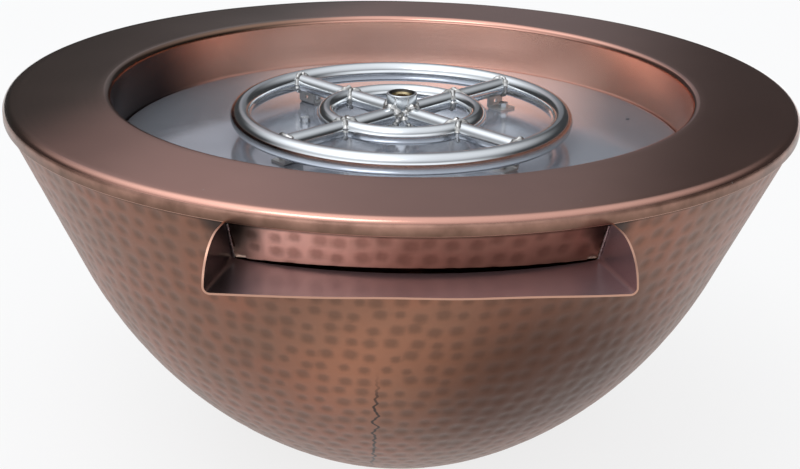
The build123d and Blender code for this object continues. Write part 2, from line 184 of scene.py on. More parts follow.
# %% Where the marks lie
hammered = {}
mark_values = {}
for name in hammered_finishes:
    hammered[name], tree, place = new_material(name)
    apart = add_node(tree, "ShaderNodeSeparateXYZ", {"Vector": place})
    bend = add_node(
        tree,
        "ShaderNodeTexNoise",
        {"W": apart.outputs["Z"], "Scale": 1 / CRACK_BEND, "Detail": 1.0},
        noise_dimensions="1D",
    )
    swing = add_node(
        tree,
        "ShaderNodeMapRange",
        {
            "Value": bend.outputs["Fac"],
            "To Min": CRACK_PLACE[0] - CRACK_SWING,
            "To Max": CRACK_PLACE[0] + CRACK_SWING,
        },
    )
    beside = add_node(
        tree, "ShaderNodeMath", {0: apart.outputs["X"], 1: swing.outputs["Result"]}, operation="SUBTRACT"
    )
    from_crack = add_node(tree, "ShaderNodeMath", {0: beside.outputs["Value"]}, operation="ABSOLUTE")
    folded_over = add_node(tree, "ShaderNodeMath", {0: apart.outputs["X"]}, operation="ABSOLUTE")
    mirrored = add_node(
        tree,
        "ShaderNodeCombineXYZ",
        {"X": folded_over.outputs["Value"], "Y": apart.outputs["Y"], "Z": apart.outputs["Z"]},
    ).outputs["Vector"]
    values = {
        "painted_light": apart.outputs["X"],
        "hem_shade": apart.outputs["Z"],
        "crack_line": from_crack.outputs["Value"],
        "hollow": add_node(tree, "ShaderNodeAttribute", attribute_name="from_blow").outputs["Fac"],
    }
    for mark, spot, middle in (
        ("right_shade", place, RIGHT_SHADE_PLACE),
        ("golden", place, GOLDEN_PLACE),
        ("crack_end", place, CRACK_PLACE),
        ("corner", mirrored, CORNER_SHADE_PLACE),
    ):
        away = add_node(tree, "ShaderNodeVectorMath", {0: spot, 1: middle}, operation="DISTANCE")
        values[mark] = away.outputs["Value"]
    for mark, size, detail in (("blotch", BLOTCH_SIZE, 6.0), ("grit", GRIT_SIZE, 3.0)):
        cloud = add_node(tree, "ShaderNodeTexNoise", {"Vector": place, "Scale": 1 / size, "Detail": detail})
        values[mark] = cloud.outputs["Fac"]
    mark_values[name] = values
print("marks placed:", sorted(values))

# %% [markdown]
# A smooth step turns each mark's value into a share, and the marks' colours are then laid over the copper
# one by one. Grit varies the gloss and gives a faint relief.

# %% Hammered copper
for name, (first, second, hollow, painted_light) in hammered_finishes.items():
    tree = hammered[name].node_tree
    values = mark_values[name]
    shares = {}
    # Each row: mark, where it starts and ends, and the share of its colour there.
    for mark, start, end, low, high in (
        ("blotch", 0.35, 0.65, 0.0, 1.0),
        ("hollow", 0.3, 1.0, 0.5, 0.0),
        ("painted_light", *PAINTED_LIGHT_ENDS, painted_light, 0.0),
        ("hem_shade", hem_bottom - HEM_SHADE_HEIGHT, hem_bottom, 0.0, 0.9),
        ("right_shade", *RIGHT_SHADE_REACH, 0.85, 0.0),
        ("golden", *GOLDEN_REACH, 0.52, 0.0),
        ("corner", *CORNER_SHADE_REACH, 0.92, 0.0),
        ("crack_line", *CRACK_WIDTH, 0.95, 0.0),
        ("crack_end", *CRACK_REACH, 1.0, 0.0),
    ):
        step = add_node(
            tree,
            "ShaderNodeMapRange",
            {"Value": values[mark], "From Min": start, "From Max": end, "To Min": low, "To Max": high},
            interpolation_type="SMOOTHSTEP",
        )
        shares[mark] = step.outputs["Result"]
    crack = add_node(
        tree, "ShaderNodeMath", {0: shares["crack_line"], 1: shares["crack_end"]}, operation="MULTIPLY"
    )
    shares["crack"] = crack.outputs["Value"]
    copper = from_hex(first)
    for mark, colour in (
        ("blotch", second),
        ("golden", "#b57f62"),
        # painted light at the strip's left end
        ("painted_light", "#fbdcc8"),
        ("hollow", hollow),
        # painted shade on the belly at the right
        ("right_shade", "#46291b"),
        # painted shade just under the hem
        ("hem_shade", "#2b211d"),
        # painted shade at the spout's corners
        ("corner", "#2b211d"),
        ("crack", "#2b1d18"),
    ):
        layer = add_node(
            tree,
            "ShaderNodeMix",
            {0: shares[mark], MIX_A: copper, MIX_B: from_hex(colour)},
            data_type="RGBA",
        )
        copper = layer.outputs[MIX_OUT]
    rough = add_node(tree, "ShaderNodeMapRange", {"Value": values["grit"], "To Min": 0.32, "To Max": 0.46})
    relief = add_node(
        tree, "ShaderNodeBump", {"Height": values["grit"], "Strength": 0.08, "Distance": 0.2 * MM}
    )
    finish_material(
        tree,
        {
            "Base Color": copper,
            "Metallic": 0.92,
            "Roughness": rough.outputs["Result"],
            "Normal": relief.outputs["Normal"],
            "Coat Weight": 0.1,
            "Coat Roughness": 0.3,
        },
    )
print("made", sorted(hammered))

# %% [markdown]
# ## Finish: satin copper of the rim and the spout
# The rim is spun on a lathe and rubbed smooth, so very faint lines run round the axis, and the patina is an
# even plum brown under a thin lacquer. The real lines are too fine to show and are drawn coarser. They
# follow the radius and the height, so the noise is read in those two. The well's wall is a brighter copper,
# which partly stands in for the light it catches, the hem was brushed by hand and is duller, and the wet
# spout is a dull plum. Each piece darkens towards one side, so each finish names the way in which the dark
# grows and where it starts and ends, in millimetres. On the lip this dark is a painted dark reflection at
# the left and towards the back, in the well it is painted shade at the left end, in the spout it is painted
# shade on the left cheek, and on the hem it simply grows towards the lower edge. Dried drops leave a few
# pale specks.

# %% Kinds of satin copper
SPIN_LINE = 1.6 * MM
STAIN_SIZE = 90 * MM
HEM_STAIN = 20 * MM
HEM_DARK_HEIGHT = 9 * MM
SPECK_CELL = 25 * MM
SPECK_RADIUS = 0.8 * MM
SPECK_CORE = 0.48 * MM
SPECK_SHARE = 0.6
SPECK_COLOUR = "#e2dcd6"
speck_ends = (SPECK_CORE / SPECK_CELL, SPECK_RADIUS / SPECK_CELL)
hem_dark_ends = ((hem_bottom + HEM_DARK_HEIGHT) / MM, hem_bottom / MM)
# Each row: three colours, stain size, way and ends of the darkening and painted shade, its share,
# metallic, roughness.
satin_finishes = {
    # The lip's olive dark at the left and towards the back is a painted dark reflection.
    "satin_copper_spun": (
        ("#cf9c8b", "#c49282", "#3d3a1e"), STAIN_SIZE, (1, -0.5, 0), (-150, -260), 0.68, 1.0, (0.14, 0.22)
    ),
    # The well's bright copper partly stands in for the light it catches, and its dark left end is painted
    # shade.
    "satin_copper_bright_well": (
        ("#f4c1aa", "#ebb49d", "#2a2021"), STAIN_SIZE, (1, 0, 0), (-172, -234), 0.96, 1.0, (0.2, 0.3)
    ),
    "satin_copper_brushed": (
        ("#b38877", "#7d5d4f", "#4f3929"), HEM_STAIN, (0, 0, 1), hem_dark_ends, 0.6, 0.95, (0.3, 0.42)
    ),
    # The spout's dark left cheek is painted shade.
    "satin_copper_folded": (
        ("#b59698", "#a18386", "#241a1b"), STAIN_SIZE, (1, 0, 0), (-108, -132), 0.92, 0.8, (0.24, 0.36)
    ),
}
print("satin finishes to make", len(satin_finishes))

# %% Satin copper
satin = {}
for name, settings in satin_finishes.items():
    colours, stain_size, darkening_way, darkening_ends, shade_and_darkening, metallic, rough_ends = settings
    first, second, dark = colours
    darkening_start, darkening_end = (end * MM for end in darkening_ends)
    satin[name], tree, place = new_material(name)
    apart = add_node(tree, "ShaderNodeSeparateXYZ", {"Vector": place})
    flat = add_node(tree, "ShaderNodeCombineXYZ", {"X": apart.outputs["X"], "Y": apart.outputs["Y"]})
    radius = add_node(tree, "ShaderNodeVectorMath", {0: flat.outputs["Vector"]}, operation="LENGTH")
    lathe = add_node(tree, "ShaderNodeCombineXYZ", {"X": radius.outputs["Value"], "Y": apart.outputs["Z"]})
    lines = add_node(
        tree,
        "ShaderNodeTexNoise",
        {"Vector": lathe.outputs["Vector"], "Scale": 1 / SPIN_LINE, "Detail": 2.0},
    )
    stain = add_node(tree, "ShaderNodeTexNoise", {"Vector": place, "Scale": 1 / stain_size, "Detail": 5.0})
    way = add_node(tree, "ShaderNodeVectorMath", {0: place, 1: darkening_way}, operation="DOT_PRODUCT")
    drops = add_node(tree, "ShaderNodeTexVoronoi", {"Vector": place, "Scale": 1 / SPECK_CELL})
    shares = {}
    # Each row: mark, value, where it starts and ends, the share there, and the kind of step.
    for mark, value, start, end, low, high, kind in (
        ("stain", stain.outputs["Fac"], 0.3, 0.7, 0.0, 1.0, "LINEAR"),
        # This step lays each piece's painted shade or painted dark reflection, and darkens the hem's lower
        # part.
        ("shade_and_darkening", way.outputs["Value"], darkening_start, darkening_end, 0.0, shade_and_darkening, "SMOOTHSTEP"),
        ("speck", drops.outputs["Distance"], *speck_ends, SPECK_SHARE, 0.0, "LINEAR"),
        ("rough", lines.outputs["Fac"], 0.0, 1.0, *rough_ends, "LINEAR"),
    ):
        step = add_node(
            tree,
            "ShaderNodeMapRange",
            {"Value": value, "From Min": start, "From Max": end, "To Min": low, "To Max": high},
            interpolation_type=kind,
        )
        shares[mark] = step.outputs["Result"]
    copper = from_hex(first)
    for mark, colour in (("stain", second), ("shade_and_darkening", dark), ("speck", SPECK_COLOUR)):
        layer = add_node(
            tree,
            "ShaderNodeMix",
            {0: shares[mark], MIX_A: copper, MIX_B: from_hex(colour)},
            data_type="RGBA",
        )
        copper = layer.outputs[MIX_OUT]
    finish_material(
        tree,
        {
            "Base Color": copper,
            "Metallic": metallic,
            "Roughness": shares["rough"],
            "Coat Weight": 0.2,
            "Coat Roughness": 0.12,
        },
    )
print("made", sorted(satin))

# %% [markdown]
# ## Finish: cut copper edge
# Where the sheet was sheared and filed there is no patina, so the edge shows as a thin pale line.

# %% Cut edge
FILE_MARK = 0.8 * MM
cut_copper, tree, place = new_material("filed_copper_edge")
marks = add_node(tree, "ShaderNodeTexNoise", {"Vector": place, "Scale": 1 / FILE_MARK, "Detail": 2.0})
rough = add_node(tree, "ShaderNodeMapRange", {"Value": marks.outputs["Fac"], "To Min": 0.3, "To Max": 0.5})
finish_material(
    tree, {"Base Color": from_hex("#c39884"), "Metallic": 1.0, "Roughness": rough.outputs["Result"]}
)
print("made", cut_copper.name)

# %% [markdown]
# ## Finish: polished stainless steel
# The burner's tube is polished before it is bent, so it mirrors the sky and the ground with only a breath
# of haze. Faint handling marks vary the gloss from place to place.

# %% Polished stainless
HANDLING_MARK = 12 * MM
polished_steel, tree, place = new_material("polished_stainless_tube")
marks = add_node(tree, "ShaderNodeTexNoise", {"Vector": place, "Scale": 1 / HANDLING_MARK, "Detail": 6.0})
rough = add_node(
    tree, "ShaderNodeMapRange", {"Value": marks.outputs["Fac"], "To Min": 0.08, "To Max": 0.18}
)
ripple = add_node(
    tree, "ShaderNodeBump", {"Height": marks.outputs["Fac"], "Strength": 0.1, "Distance": 0.3 * MM}
)
finish_material(
    tree,
    {
        "Base Color": from_hex("#d3d6d8"),
        "Metallic": 1.0,
        "Roughness": rough.outputs["Result"],
        "Normal": ripple.outputs["Normal"],
    },
)
print("made", polished_steel.name)

# %% [markdown]
# ## Finish: rolled stainless sheet
# The pan keeps the mill's bright rolled face. It mirrors the well's wall softly and has a slight wave.

# %% Rolled stainless
SHEET_WAVE = 110 * MM
rolled_steel, tree, place = new_material("rolled_stainless_sheet")
wave = add_node(tree, "ShaderNodeTexNoise", {"Vector": place, "Scale": 1 / SHEET_WAVE, "Detail": 1.0})
haze = add_node(tree, "ShaderNodeTexNoise", {"Vector": place, "Scale": 1 / HANDLING_MARK, "Detail": 5.0})
rough = add_node(tree, "ShaderNodeMapRange", {"Value": haze.outputs["Fac"], "To Min": 0.1, "To Max": 0.2})
ripple = add_node(
    tree, "ShaderNodeBump", {"Height": wave.outputs["Fac"], "Strength": 0.25, "Distance": 4 * MM}
)
finish_material(
    tree,
    {
        "Base Color": from_hex("#c3c7d0"),
        "Metallic": 0.75,
        "Roughness": rough.outputs["Result"],
        "Normal": ripple.outputs["Normal"],
    },
)
print("made", rolled_steel.name)

# %% [markdown]
# ## Finishes of the welds and fittings
# A bead of weld cools in small ripples. It is duller than the tube and tinted straw and grey by the heat.
# Mill copper, yellow brass, zinc plate, bracket steel, rubber and the painted shade in the hub's mouth are
# small and mostly hidden. One loop makes them all: a base colour clouded by a second one, with a roughness
# range that is typical of each.

# %% Weld and fitting finishes
# Each row: size and detail of the clouds, two colours, metallic, roughness.
fitting_finishes = {
    "brushed_weld_bead": (5 * MM, 3.0, "#d8d9d9", "#928e86", 1.0, 0.18, 0.4),
    "mill_copper_pipe": (14 * MM, 5.0, "#8f6752", "#6d4c3c", 1.0, 0.32, 0.5),
    "machined_yellow_brass": (14 * MM, 5.0, "#d9bd78", "#b08f4a", 1.0, 0.18, 0.32),
    "zinc_plated_steel": (14 * MM, 5.0, "#d5d7da", "#b7b9b8", 1.0, 0.2, 0.34),
    "sheared_bracket_steel": (14 * MM, 5.0, "#d2d4d6", "#b4b1ab", 0.7, 0.3, 0.48),
    # The dark finish of the hub's mouth is painted shade.
    "mouth_painted_shade": (14 * MM, 5.0, "#3b3733", "#262220", 0.9, 0.3, 0.45),
    "nitrile_rubber": (14 * MM, 5.0, "#1d1d1e", "#2a2a2b", 0.0, 0.6, 0.8),
}
fittings = {}
for name, settings in fitting_finishes.items():
    cloud_size, detail, first, second, metallic, smooth_end, rough_end = settings
    fittings[name], tree, place = new_material(name)
    cloud = add_node(
        tree, "ShaderNodeTexNoise", {"Vector": place, "Scale": 1 / cloud_size, "Detail": detail}
    )
    colour = add_node(
        tree,
        "ShaderNodeMix",
        {0: cloud.outputs["Fac"], MIX_A: from_hex(first), MIX_B: from_hex(second)},
        data_type="RGBA",
    )
    rough = add_node(
        tree,
        "ShaderNodeMapRange",
        {"Value": cloud.outputs["Fac"], "To Min": smooth_end, "To Max": rough_end},
    )
    finish_material(
        tree,
        {"Base Color": colour.outputs[MIX_OUT], "Metallic": metallic, "Roughness": rough.outputs["Result"]},
    )
print("made", sorted(fittings))

# %% [markdown]
# ## Making a piece
# Every new piece goes the same way: its bmesh becomes a smooth object at the origin, rides on the body that
# carries it, stands for its CAD nodes and takes its materials.


# %% Piece and profile helpers
CRISP_ANGLE = math.radians(38)


def finish_piece(name, shape, materials, body, replaced=()):
    """Makes an object of a bmesh, with crisp edges kept, and ties it to the CAD model."""
    mesh = bpy.data.meshes.new(name)
    shape.to_mesh(mesh)
    shape.free()
    mesh.shade_smooth()
    mesh.set_sharp_from_angle(angle=CRISP_ANGLE)
    for material in materials:
        mesh.materials.append(material)
    piece = bpy.data.objects.new(name, mesh)
    bpy.context.scene.collection.objects.link(piece)
    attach(piece, body)
    if replaced:
        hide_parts(*replaced)
    print(name, "has", len(mesh.polygons), "faces")
    return piece


def thicken(piece, thickness):
    """Gives a folded sheet its thickness below the drawn face, and keeps its cut edges crisp."""
    modifier = piece.modifiers.new("sheet", "SOLIDIFY")
    modifier.thickness = thickness
    modifier.offset = -1
    modifier.use_even_offset = True
    modifier.material_offset_rim = 1
    evaluated = piece.evaluated_get(bpy.context.evaluated_depsgraph_get())
    piece.data = bpy.data.meshes.new_from_object(evaluated)
    piece.data.set_sharp_from_angle(angle=CRISP_ANGLE)
    piece.modifiers.clear()


def arc(centre, radius, start, end, steps):
    """Points on a round stretch of a profile, from one angle to another."""
    points = []
    for index in range(steps + 1):
        angle = math.radians(start + (end - start) * index / steps)
        points.append((centre[0] + radius * math.cos(angle), centre[1] + radius * math.sin(angle)))
    return points


def turned(profile, columns, closed=False):
    """A bmesh of a (radius, height) profile spun once about the bowl's axis."""
    shape = bmesh.new()
    corners = [shape.verts.new((radius, 0, height)) for radius, height in profile]
    edges = [shape.edges.new(pair) for pair in zip(corners, corners[1:])]
    if closed:
        edges.append(shape.edges.new((corners[-1], corners[0])))
    bmesh.ops.spin(
        shape,
        geom=corners + edges,
        cent=(0, 0, 0),
        axis=(0, 0, 1),
        angle=2 * math.pi,
        steps=columns,
        use_merge=True,
    )
    bmesh.ops.remove_doubles(shape, verts=shape.verts, dist=tolerance / 10)
    bmesh.ops.recalc_face_normals(shape, faces=shape.faces)
    return shape


def grow(shape, edges):
    """Extrudes edges where they lie, and gives the new points and edges to be moved."""
    made = bmesh.ops.extrude_edge_only(shape, edges=edges)["geom"]
    points = [item for item in made if isinstance(item, bmesh.types.BMVert)]
    return points, [item for item in made if isinstance(item, bmesh.types.BMEdge)]


print("edges sharper than", round(math.degrees(CRISP_ANGLE)), "degrees stay crisp")

# %% [markdown]
# ## The hammered wall
# The wall is a straight cone under the rim that runs into a round belly. A bump map could fake the hammer
# marks, but they catch the light at the outline too, so they are real hollows: the profile is spun into a
# fine net, and each point sinks under the deepest of the blows that reach it.

# %% The wall's profile
wall_lean = math.radians(22.8)
wall_straight = 134 * MM
base_radius = 108 * MM
hem_radius = rim_radius - sheet - seam_gap
belly_top_radius = hem_radius - wall_straight * math.sin(wall_lean)
belly_top = hem_bottom - wall_straight * math.cos(wall_lean)
run = base_radius - belly_top_radius
towards_centre = -run * math.cos(wall_lean) - belly_top * math.sin(wall_lean)
belly_radius = (run ** 2 + belly_top ** 2) / (2 * towards_centre)
belly_centre_radius = belly_top_radius - belly_radius * math.cos(wall_lean)
belly_centre_height = belly_top + belly_radius * math.sin(wall_lean)
base_slope = math.asin(belly_centre_height / belly_radius)
wall_length = wall_straight + belly_radius * (base_slope - wall_lean)


def wall_slope(along):
    """How far the wall leans out of the upright, at a distance down the wall from the hem."""
    return wall_lean + max(0.0, along - wall_straight) / belly_radius


def wall_point(along, inset=0.0):
    """Radius and height on the wall, at a distance down from the hem, set in from the outside."""
    slope = wall_slope(along)
    if along <= wall_straight:
        radius = hem_radius - along * math.sin(wall_lean)
        height = hem_bottom - along * math.cos(wall_lean)
    else:
        radius = belly_centre_radius + belly_radius * math.cos(slope)
        height = belly_centre_height - belly_radius * math.sin(slope)
    return radius - inset * math.cos(slope), height + inset * math.sin(slope)


def cone_radius(height):
    """Radius of the straight stretch of the wall at a height."""
    return hem_radius - (hem_bottom - height) * math.tan(wall_lean)


print("wall length", round(wall_length, 4), "belly radius", round(belly_radius, 4))

# %% [markdown]
# ## Hammer blows
# A smith works round the bowl in rows, each row half a blow out of step with the last, and no blow falls
# exactly where it should. A seeded random number moves every blow a little and varies its depth and width.

# %% Places of the blows
BLOW_PITCH = 15.4 * MM
ROW_PITCH = 14.5 * MM
BLOW_SHIFT = 2.7 * MM
BLOW_TURN = 0.5
BLOW_RADIUS = (5.7 * MM, 8.2 * MM)
BLOW_DEPTH = (0.42 * MM, 0.7 * MM)
chance = random.Random(27)
blows = []
for row in range(int(wall_length / ROW_PITCH)):
    row_along = (row + 0.5) * ROW_PITCH
    count = round(2 * math.pi * wall_point(row_along)[0] / BLOW_PITCH)
    for step in range(count):
        along = row_along + chance.uniform(-BLOW_SHIFT, BLOW_SHIFT)
        radius, height = wall_point(min(max(along, 0.0), wall_length))
        turned_by = 2 * math.pi * (step + 0.5 * (row % 2)) / count
        angle = turned_by + chance.uniform(-BLOW_SHIFT, BLOW_SHIFT) / radius
        middle = Vector((radius * math.cos(angle), radius * math.sin(angle), height))
        turn = chance.uniform(-BLOW_TURN, BLOW_TURN)
        blows.append((middle, turn, chance.uniform(*BLOW_RADIUS), chance.uniform(*BLOW_DEPTH)))
blow_tree = kdtree.KDTree(len(blows))
for index, blow in enumerate(blows):
    blow_tree.insert(blow[0], index)
blow_tree.balance()
print("hammer blows", len(blows))

# %% [markdown]
# The net is fine outside, where the blows fall, and coarse on the lining. One row of points lies along each
# of the slot's two edges, so that the slot can be cut there.

# %% Spin the wall
WALL_COLUMNS = 620
WALL_ROW = 3.3 * MM
LINING_ROWS = 10
spout_drop = 44.6 * MM
slot_height = 4.3 * MM
slot_half_width = 126 * MM
flange_drop = 5.6 * MM
spout_floor = rim_top - spout_drop
slot_bottom = spout_floor - sheet - seam_gap
slot_top = spout_floor + slot_height
flange_top = rim_top - flange_drop


def along_at(height):
    """Distance down the straight stretch of the wall to a height."""
    return (hem_bottom - height) / math.cos(wall_lean)


marks = [0.0, along_at(slot_top), along_at(slot_bottom), wall_straight, wall_length]
stations = [0.0]
for start, end in zip(marks, marks[1:]):
    rows = math.ceil((end - start) / WALL_ROW)
    stations += [start + (end - start) * (index + 1) / rows for index in range(rows)]
lift = sheet * math.sin(wall_lean)
lining = [along_at(slot_top - lift), along_at(slot_bottom - lift), wall_straight]
lining_slope = math.asin(belly_centre_height / (belly_radius - sheet))
lining_end = wall_straight + belly_radius * (lining_slope - wall_lean)
lining += [
    wall_straight + (lining_end - wall_straight) * (index + 1) / LINING_ROWS for index in range(LINING_ROWS)
]
flange_inside = hem_radius - sheet
wall_profile = [wall_point(along) for along in reversed(stations)]
wall_profile += [(hem_radius, flange_top), (flange_inside, flange_top)]
wall_profile += [(flange_inside, hem_bottom + lift)]
wall_profile += [wall_point(along, sheet) for along in lining]
wall = turned(wall_profile, WALL_COLUMNS, closed=True)
print("wall rows", len(wall_profile), "columns", WALL_COLUMNS)

# %% [markdown]
# The slot for the water is cut by taking away the faces of both sides of the sheet and bridging the two
# edges that are left. Its upper edge is a flat arch, so the net is first pulled down along the wall at the
# slot's ends.

# %% Cut the slot
ARCH_DROP = 3.5 * MM
ARCH_RUN_OUT = 30 * MM
for vert in wall.verts:
    if vert.co.y < 0 and slot_top - 2 * sheet < vert.co.z < hem_bottom:
        beyond = max(0.0, abs(vert.co.x) - slot_half_width) / ARCH_RUN_OUT
        arch = min(1.0, abs(vert.co.x) / slot_half_width) ** 2 * max(0.0, 1 - beyond)
        drop = ARCH_DROP * arch * min(1.0, (hem_bottom - vert.co.z) / (hem_bottom - slot_top))
        radius = vert.co.xy.length
        vert.co.xy *= (radius - drop * math.tan(wall_lean)) / radius
        vert.co.z -= drop
in_slot = []
for face in wall.faces:
    middle = face.calc_center_median()
    lowest = min(vert.co.z for vert in face.verts)
    highest = max(vert.co.z for vert in face.verts)
    in_rows = lowest > slot_bottom - sheet and highest < slot_top + tolerance
    if in_rows and abs(middle.x) < slot_half_width and middle.y < 0:
        in_slot.append(face)
bmesh.ops.delete(wall, geom=in_slot, context="FACES")
slot_edges = [edge for edge in wall.edges if edge.is_boundary]
bmesh.ops.bridge_loops(wall, edges=slot_edges)
bmesh.ops.recalc_face_normals(wall, faces=wall.faces)
print("open edges left in the wall:", sum(edge.is_boundary for edge in wall.edges))

# %% [markdown]
# Every point of the net looks for the nearest blows and takes its distance from each, as a share of the
# blow's size. The hammer's face is a soft square, so the distance is measured with cubes in place of
# squares. The share is kept on the net for the finish, which darkens the hollows.

# %% Hammer the wall
NEIGHBOURS = 4
SQUARENESS = 3
HOLLOW_CURVE = 1.5
DENT_SIZE = 120 * MM
DENT_DEPTH = 0.5 * MM
BASE_MARGIN = 0.1 * MM
FAR = 1.4
from_blow = wall.verts.layers.float.new("from_blow")
for vert in wall.verts:
    radius = vert.co.xy.length
    if vert.co.z > hem_bottom or vert.co.z < BASE_MARGIN:
        continue
    if vert.co.z >= belly_top:
        slope = wall_lean
        depth_in = (cone_radius(vert.co.z) - radius) * math.cos(wall_lean)
    else:
        reach = Vector((radius - belly_centre_radius, belly_centre_height - vert.co.z))
        slope = math.atan2(reach.y, reach.x)
        depth_in = belly_radius - reach.length
    if depth_in > sheet / 2:
        continue
    around = Vector((-vert.co.y, vert.co.x, 0)).normalized()
    outward = Vector((vert.co.x, vert.co.y, 0)).normalized() * math.cos(slope)
    outward.z = -math.sin(slope)
    down = outward.cross(around)
    nearest = FAR
    sink = 0.0
    for _, index, _ in blow_tree.find_n(vert.co, NEIGHBOURS):
        middle, turn, blow_radius, blow_depth = blows[index]
        offset = vert.co - middle
        side = Vector((offset.dot(around), offset.dot(down))) @ Matrix.Rotation(turn, 2)
        share = (abs(side.x) ** SQUARENESS + abs(side.y) ** SQUARENESS) ** (1 / SQUARENESS) / blow_radius
        nearest = min(nearest, share)
        sink = max(sink, blow_depth * max(0.0, 1 - share ** 2) ** HOLLOW_CURVE)
    vert[from_blow] = nearest
    sink += DENT_DEPTH * (0.5 + 0.5 * noise.noise(vert.co / DENT_SIZE))
    vert.co -= outward * sink
print("marked points", sum(vert[from_blow] < 1 for vert in wall.verts))

# %% [markdown]
# The strip between the slot and the hem is sheltered by the rim and gets the second finish, which carries
# painted light at its left end.

# %% Finish the wall
for face in wall.faces:
    middle = face.calc_center_median()
    if middle.y < 0 and abs(middle.x) < slot_half_width and slot_top - ARCH_DROP < middle.z < hem_bottom:
        face.material_index = 1
wall_nodes = ["shoulder_band", "slot_band", "bowl_wall", "bowl_belly"]
finish_piece("hammered_bowl", wall, list(hammered.values()), "bowl", wall_nodes)

# %% [markdown]
# ## The rim
# The rim is one spinning: a hem outside, a wide flat lip and an edge that rolls over into the well. Its
# closed profile is spun, with small waves where the hand pressed unevenly. The hem's lower edge is rubbed
# bright.

# %% Lines of the rim
RIM_COLUMNS = 360
LIP_ROWS = 14
BURNISHED_STEPS = 4
ROUND_STEPS = 12
LINING_STEPS = 6
well_low, well_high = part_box("well_ring")
edge_radius = 7 * MM
burnished_radius = 0.5 * MM
hem_step = 2 * MM
roll_radius = rim_top - well_high.z
opening_radius = well_high.x - sheet
edge_centre = (rim_radius - edge_radius, rim_top - edge_radius)
roll_centre = (opening_radius + roll_radius, rim_top - roll_radius)
hem_centre = (rim_radius - burnished_radius, hem_bottom + burnished_radius)
lip_start = rim_radius - edge_radius
lip_end = opening_radius + roll_radius
lip_width = lip_end - lip_start
rim_profile = arc(hem_centre, burnished_radius, -90, 0, BURNISHED_STEPS)
rim_profile += [(rim_radius, hem_bottom + hem_step)]
rim_profile += arc(edge_centre, edge_radius, 0, 90, ROUND_STEPS)
rim_profile += [(lip_start + lip_width * index / LIP_ROWS, rim_top) for index in range(1, LIP_ROWS)]
rim_profile += arc(roll_centre, roll_radius, 90, 180, ROUND_STEPS)
rim_profile += arc(roll_centre, roll_radius - sheet, 180, 90, LINING_STEPS)
rim_profile += arc(edge_centre, edge_radius - sheet, 90, 0, LINING_STEPS)
rim_profile += [(rim_radius - sheet, hem_bottom)]
print("rim profile has", len(rim_profile), "points")

# %% Spin the rim
WAVE_SIZE = 75 * MM
WAVE_DEPTH = 0.35 * MM
rim = turned(rim_profile, RIM_COLUMNS, closed=True)
for face in rim.faces:
    middle = face.calc_center_median()
    if middle.z < hem_bottom + burnished_radius:
        face.material_index = 2
    elif middle.z < rim_top - edge_radius / 2 and middle.xy.length > lip_start:
        face.material_index = 1
for vert in rim.verts:
    if vert.co.xy.length > lip_end - roll_radius / 2 and vert.co.z > hem_bottom + sheet:
        vert.co.z -= WAVE_DEPTH * (0.5 + 0.5 * noise.noise(vert.co / WAVE_SIZE))
rim_finishes = [satin["satin_copper_spun"], satin["satin_copper_brushed"], cut_copper]
finish_piece("spun_rim", rim, rim_finishes, "bowl", ["rim_collar"])

# %% [markdown]
# ## The well
# The well's wall is a rolled strip under the rim's rolled edge. A ledge at its foot carries the pan.

# %% Roll the well's wall
WELL_ROWS = 8
ledge_width = 14 * MM
ledge_inside = opening_radius - ledge_width
ledge_top = pan_low.z
well_drop = well_high.z - ledge_top
well_profile = [
    (opening_radius, well_high.z - well_drop * index / WELL_ROWS) for index in range(WELL_ROWS + 1)
]
well_profile += [(ledge_inside, ledge_top), (ledge_inside, well_low.z)]
well_profile += [(opening_radius + sheet, well_low.z), (opening_radius + sheet, well_high.z)]
well = turned(well_profile, RIM_COLUMNS, closed=True)
finish_piece("well_wall", well, [satin["satin_copper_bright_well"]], "bowl", ["well_ring"])

# %% [markdown]
# ## The spout
# The spout is one folded sheet. Its cross-section at the lip is drawn once: a cheek, a bend, the floor, a
# bend and a cheek. Extruding that line back to the bowl's wall gives the sheet, and a Solidify modifier
# gives it its thickness and a bright cut edge.

# %% Lines of the spout
spout_reach = 360 * MM
spout_half_width = 141 * MM
spout_flare = math.radians(14)
spout_bend = 4 * MM
lip_bow = 5 * MM
cheek_corner = 31 * MM
corner_low = hem_bottom - cheek_corner
CHEEK_STEPS = 14
BEND_STEPS = 6
FLOOR_STEPS = 44
DEPTH_CUTS = 14
APPROACHES = 12


def half_width(distance):
    """Half of the spout's inside width at a distance in front of the axis."""
    return spout_half_width - (spout_reach - distance) * math.tan(spout_flare)


def lip_distance(share, height):
    """How far in front of the axis the spout's front edge lies."""
    rise = min(max(0.0, height - corner_low), cheek_corner)
    recess = cheek_corner - math.sqrt(cheek_corner ** 2 - rise ** 2)
    return spout_reach + lip_bow * (1 - share ** 2) - recess


def wall_distance(share, height):
    """How far in front of the axis a line of the spout meets the bowl's wall."""
    reach = cone_radius(height) + seam_gap
    distance = reach
    for _ in range(APPROACHES):
        distance = math.sqrt(reach ** 2 - (share * half_width(distance)) ** 2)
    return distance


def spout_vertex(share, height, distance):
    """Point of the spout at a share of its half width."""
    return Vector((share * half_width(distance), -distance, height))


bend_low = math.asin((spout_floor + spout_bend - corner_low) / cheek_corner)
half_section = []
for index in range(CHEEK_STEPS):
    angle = math.pi / 2 + (bend_low - math.pi / 2) * index / CHEEK_STEPS
    half_section.append((1.0, corner_low + cheek_corner * math.sin(angle)))
for index in range(BEND_STEPS + 1):
    angle = math.pi / 2 * index / BEND_STEPS
    inward = spout_bend * (1 - math.cos(angle))
    half_section.append((1 - inward / spout_half_width, spout_floor + spout_bend * (1 - math.sin(angle))))
floor_share = half_section[-1][0]
section = [(-share, height) for share, height in half_section]
section += [
    (floor_share * (2 * index / FLOOR_STEPS - 1), spout_floor) for index in range(1, FLOOR_STEPS)
]
section += reversed(half_section)
print("spout section has", len(section), "points")

